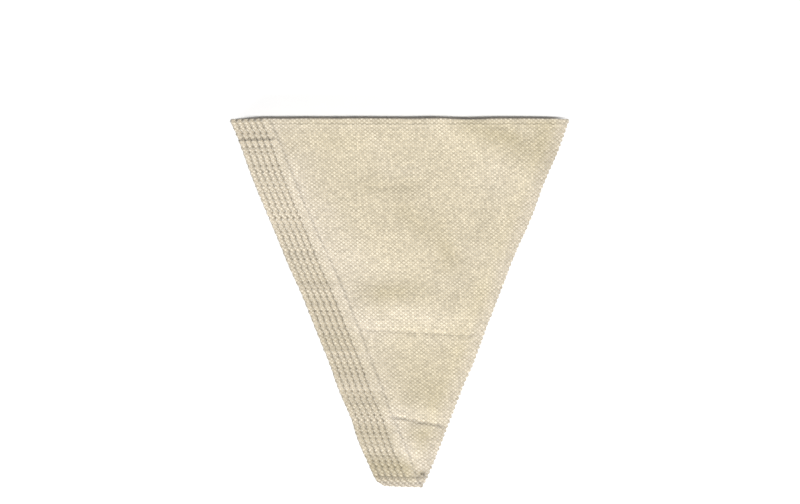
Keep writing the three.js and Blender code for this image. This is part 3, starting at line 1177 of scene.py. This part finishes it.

# %% [markdown]
# Unbleached cotton is a warm cream, lighter in the warp than in the weft. The weave's
# masks tell how much of each shows. Tones multiply that colour: one for each yarn, one
# for each crossing, slow patches in the cloth's own place, and the painted light and
# shade, with which the drawn lines go as painted shade in their grooves and painted
# light on their ridges. The pores are mixed in last, as a plain dark tone of painted shade.

# %% Colour of the canvas
WEFT_CREAM = (0.391, 0.328, 0.221, 1)
WARP_CREAM = (0.613, 0.552, 0.426, 1)
# painted shade in the pores between the crossings
PORE_SHADE = (0.25, 0.205, 0.13, 1)
CHANCE_RANGE = (0, 1)
NOISE_RANGE = (0.3, 0.7)
YARN_TONES = (0.95, 1.05)
CROSSING_TONES = (0.84, 1.16)
PATCH_TONES = (0.97, 1.03)
PATCH_SCALE = 45
PATCH_DETAIL = 3
# painted shade in the grooves of the drawn lines and strokes, painted light on their ridges
LINE_SHADE = 0.55


def canvas_colour(tree, weave, cloth_place, painted_shading, lines):
    cream = mix_node(tree, "RGBA", weave["Warp share"], WEFT_CREAM, WARP_CREAM)
    # the drawn lines and strokes as painted shade in their grooves and painted light on their ridges
    painted_line_shade = math_node(tree, "MULTIPLY_ADD", lines, LINE_SHADE, 1.0)
    shaded_cream = vector_node(tree, "MULTIPLY", cream, vector_node(tree, "ADD", painted_shading, painted_line_shade))
    yarns = map_range(tree, weave["Tone"], NOISE_RANGE, YARN_TONES)
    crossings = map_range(tree, weave["Crossing"], CHANCE_RANGE, CROSSING_TONES)
    patches = noise_node(tree, cloth_place, PATCH_SCALE, PATCH_DETAIL)["Fac"]
    patches = map_range(tree, patches, NOISE_RANGE, PATCH_TONES)
    tones = math_node(tree, "MULTIPLY", math_node(tree, "MULTIPLY", yarns, crossings), patches)
    return mix_node(tree, "RGBA", weave["Pore"], vector_node(tree, "MULTIPLY", shaded_cream, tones), PORE_SHADE)


print("warp lighter than weft by", round(WARP_CREAM[0] / WEFT_CREAM[0], 2), "times")

# %% [markdown]
# The canvas is almost without gloss, and its loose fibres give it a faint sheen. The
# crowns of the yarns, the fibres on them and the drawn lines are too fine for the mesh,
# so they are a bump. The top flag has the creases as well, so it gets a material of its
# own, made by the same function.

# %% Canvas material
CANVAS_FINISH = {
    "Roughness": 0.92,
    "Specular IOR Level": 0.2,
    "Sheen Weight": 0.15,
    "Sheen Roughness": 0.6,
}
FIBRE_SCALE = 5200
FIBRE_DETAIL = 3
FIBRE_HEIGHT = 0.02
YARN_BUMP = 0.04


def attribute_on(tree, name):
    node = tree.nodes.new("ShaderNodeAttribute")
    node.attribute_name = name
    return node.outputs["Vector"]


def yarn_counts(tree):
    """The counts of the yarns, back from the map at their full size."""
    yarn_map = tree.nodes.new("ShaderNodeUVMap")
    yarn_map.uv_map = "Yarns"
    mapping = tree.nodes.new("ShaderNodeMapping")
    mapping.inputs["Scale"].default_value = (YARN_MAP, YARN_MAP, 1)
    tree.links.new(yarn_map.outputs[0], mapping.inputs["Vector"])
    return mapping.outputs[0]


def canvas_bump(tree, weave, cloth_place, lines):
    """The fine relief, with its height in millimetres."""
    fibres = noise_node(tree, cloth_place, FIBRE_SCALE, FIBRE_DETAIL)["Fac"]
    fibre_height = math_node(tree, "MULTIPLY", fibres, FIBRE_HEIGHT)
    yarn_height = math_node(tree, "MULTIPLY_ADD", weave["Crown"], YARN_BUMP, fibre_height)
    bump = tree.nodes.new("ShaderNodeBump")
    bump.inputs["Strength"].default_value = 1
    bump.inputs["Distance"].default_value = MM
    tree.links.new(math_node(tree, "ADD", yarn_height, lines), bump.inputs["Height"])
    return bump.outputs[0]


def make_canvas(name, lines):
    material = bpy.data.materials.new(name)
    material.use_nodes = True
    tree = material.node_tree
    shader = tree.nodes["Principled BSDF"]
    for label, value in CANVAS_FINISH.items():
        shader.inputs[label].default_value = value
    cloth_place = tree.nodes.new("ShaderNodeTexCoord").outputs["Object"]
    weave = place_group(tree, weave_group, Yarns=yarn_counts(tree))
    lines = line_height(tree, attribute_on(tree, "Flag place"), lines)
    colour = canvas_colour(tree, weave, cloth_place, attribute_on(tree, "Painted light and shade"), lines)
    tree.links.new(colour, shader.inputs["Base Color"])
    tree.links.new(canvas_bump(tree, weave, cloth_place, lines), shader.inputs["Normal"])
    return material


canvas = make_canvas("raw canvas", HEM_LINES)
creased = make_canvas("creased canvas", HEM_LINES | CREASE_LINES)
for cloth in flags:
    cloth.data.materials.append(creased if cloth is flags[-1] else canvas)
print("materials:", canvas.name, creased.name)

# %% [markdown]
# The flags lie on a white floor and are lit as on a copy stand. A long narrow light
# hangs level over them and reaches far to the right. A small one stands low at the side
# of the tips, so its light skims over the cloth and shows the weave, and the top edges
# get their thin dark shadow. The white room lifts the rest. The plain view transform
# keeps the cream as it was mixed.

# %% Floor and lights
FLOOR_SIDE = 4.0
FLOOR_WHITE = (0.88, 0.88, 0.88, 1)
FLOOR_ROUGHNESS = 0.9
ROOM_STRENGTH = 0.18
# place, then size along and across, in metres, and power
LIGHTS = {
    "key": ((0.45, -0.18, 1.7), (1.7, 0.1), 36),
    "rake": ((0.1, -1.05, 0.75), (0.5, 0.5), 9.5),
}

bpy.ops.object.select_all(action="DESELECT")
bpy.ops.mesh.primitive_plane_add(size=FLOOR_SIDE, location=(0, 0, 0))
floor = bpy.context.object
floor.name = "floor"
white = bpy.data.materials.new("white floor")
white.use_nodes = True
white_shader = white.node_tree.nodes["Principled BSDF"]
white_shader.inputs["Base Color"].default_value = FLOOR_WHITE
white_shader.inputs["Roughness"].default_value = FLOOR_ROUGHNESS
floor.data.materials.append(white)


def area_light(name, place, size, power):
    """A rectangular light that faces the middle of the stack, its first side level."""
    data = bpy.data.lights.new(name, "AREA")
    data.shape = "RECTANGLE"
    data.size, data.size_y = size
    data.energy = power
    light = bpy.data.objects.new(name, data)
    backwards = Vector(place).normalized()
    upwards = backwards.cross(Vector((1, 0, 0))).normalized()
    turn = Matrix((upwards.cross(backwards), upwards, backwards)).transposed()
    light.matrix_world = Matrix.Translation(place) @ turn.to_4x4()
    bpy.context.scene.collection.objects.link(light)


for name, (place, size, power) in LIGHTS.items():
    area_light(name, place, size, power)
room = bpy.data.worlds.new("room")
bpy.context.scene.world = room
room.use_nodes = True
room.node_tree.nodes["Background"].inputs["Color"].default_value = (1, 1, 1, 1)
room.node_tree.nodes["Background"].inputs["Strength"].default_value = ROOM_STRENGTH
bpy.context.scene.view_settings.view_transform = "Standard"

# %% [markdown]
# Every flag moves with the one body of the part and stands for its solid, which is hidden.

for flag, (cloth, node) in enumerate(zip(flags, flag_names)):
    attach(cloth, "root")
    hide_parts(node)
